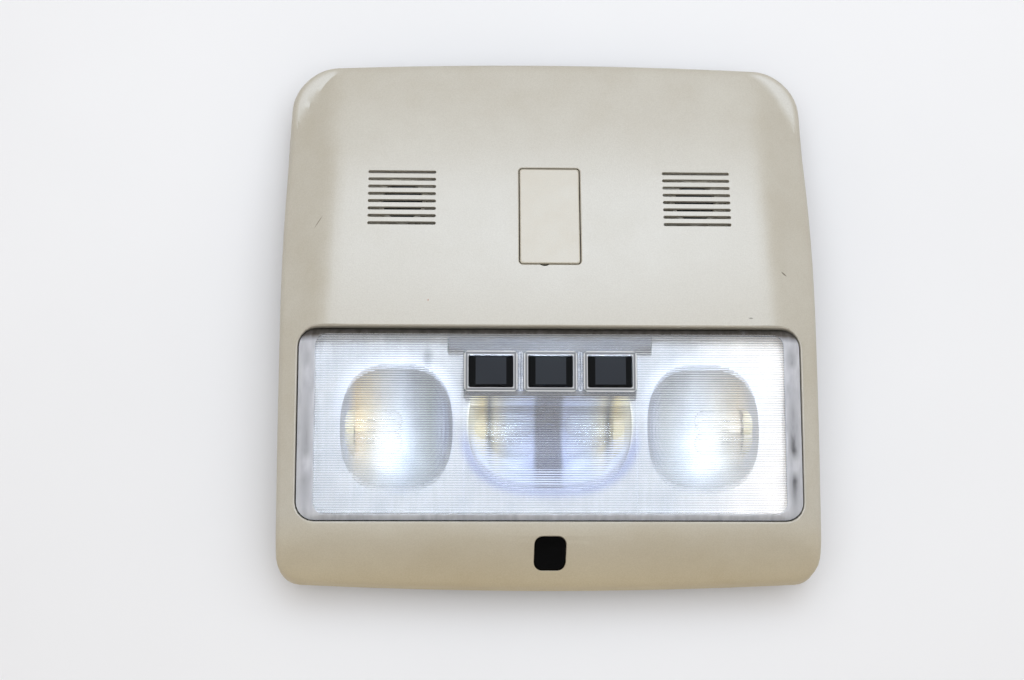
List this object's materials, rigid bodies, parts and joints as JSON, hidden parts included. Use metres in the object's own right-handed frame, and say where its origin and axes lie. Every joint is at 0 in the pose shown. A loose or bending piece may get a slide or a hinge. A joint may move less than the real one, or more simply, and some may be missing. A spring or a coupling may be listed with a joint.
{
  "type": "car interior light",
  "caption": "Domed beige overhead lamp with a wide fluted clear lens over silvery bowls, black push keys, slotted sensor grilles, a blanking plate and a small dark window.",
  "frame": {"origin": "middle of the bounding box, on the flat back of the lamp housing, on which it rests", "axes": "+Z out of the lens face, +Y from the lens towards the grilles, +X to the right seen from the lens face"},
  "size_m": [0.2272, 0.2286, 0.0466],
  "materials": {
    "beige_plastic": "fine grained, moulded",
    "beige_cover": "fine grained, moulded",
    "clear_lens": "clear, fluted inside",
    "metallised": "metallised, mirror-like",
    "grey_plastic": "satin",
    "black_plastic": "satin",
    "white_nylon": "satin",
    "switch_plastic": "satin",
    "board": "satin lacquer",
    "black_nylon": "satin",
    "contact_metal": "bright",
    "ivory_nylon": "satin",
    "bulb_glass": "clear",
    "natural_nylon": "satin",
    "housing_plastic": "satin",
    "zinc_steel": "zinc plated",
    "ivory_plastic": "satin",
    "sensor_metal": "matt mesh",
    "dark_plastic": "polished",
    "led_resin": "clear resin",
    "spring_steel": "zinc plated",
    "lead_rubber": "satin"
  },
  "bodies": {
    "lamp": {"bezel": "beige_plastic", "blanking_plate": "beige_cover", "lens": "clear_lens", "reflector": "metallised", "key_guide": "grey_plastic", "switch_left": "switch_plastic", "switch_centre": "switch_plastic", "switch_right": "switch_plastic", "circuit_board": "board", "harness_socket": "black_nylon", "socket_pins": "contact_metal", "lead_header": "ivory_nylon", "lead_plug": "ivory_nylon", "reading_bulb_left": "bulb_glass", "reading_bulb_right": "bulb_glass", "courtesy_bulb_left": "bulb_glass", "courtesy_bulb_right": "bulb_glass", "reading_holder_left": "natural_nylon", "reading_holder_right": "natural_nylon", "courtesy_holder_left": "natural_nylon", "courtesy_holder_right": "natural_nylon", "holder_contacts": "contact_metal", "housing": "housing_plastic", "housing_screws": "zinc_steel", "sensor_body_left": "ivory_plastic", "sensor_body_right": "ivory_plastic", "sensor_element_left": "sensor_metal", "sensor_element_right": "sensor_metal", "sensor_screws": "zinc_steel", "dark_window": "dark_plastic", "led_board": "board", "led": "led_resin", "clip_front_left": "spring_steel", "clip_front_right": "spring_steel", "clip_rear_left": "spring_steel", "clip_rear_right": "spring_steel", "sensor_lead_left": "lead_rubber", "sensor_lead_right": "lead_rubber", "led_lead": "lead_rubber"},
    "key_left": {"key_left": "black_plastic", "plunger_left": "white_nylon"},
    "key_centre": {"key_centre": "black_plastic", "plunger_centre": "white_nylon"},
    "key_right": {"key_right": "black_plastic", "plunger_right": "white_nylon"}
  },
  "joints": [
    {"name": "key_left_press", "type": "slide", "parent": "lamp", "child": "key_left", "axis": [0, 0, -1], "range_m": [0, 0.0018], "stiffness_N_per_m": 500, "springref_m": -0.0008},
    {"name": "key_centre_press", "type": "slide", "parent": "lamp", "child": "key_centre", "axis": [0, 0, -1], "range_m": [0, 0.0018], "stiffness_N_per_m": 500, "springref_m": -0.0008},
    {"name": "key_right_press", "type": "slide", "parent": "lamp", "child": "key_right", "axis": [0, 0, -1], "range_m": [0, 0.0018], "stiffness_N_per_m": 500, "springref_m": -0.0008}
  ]
}
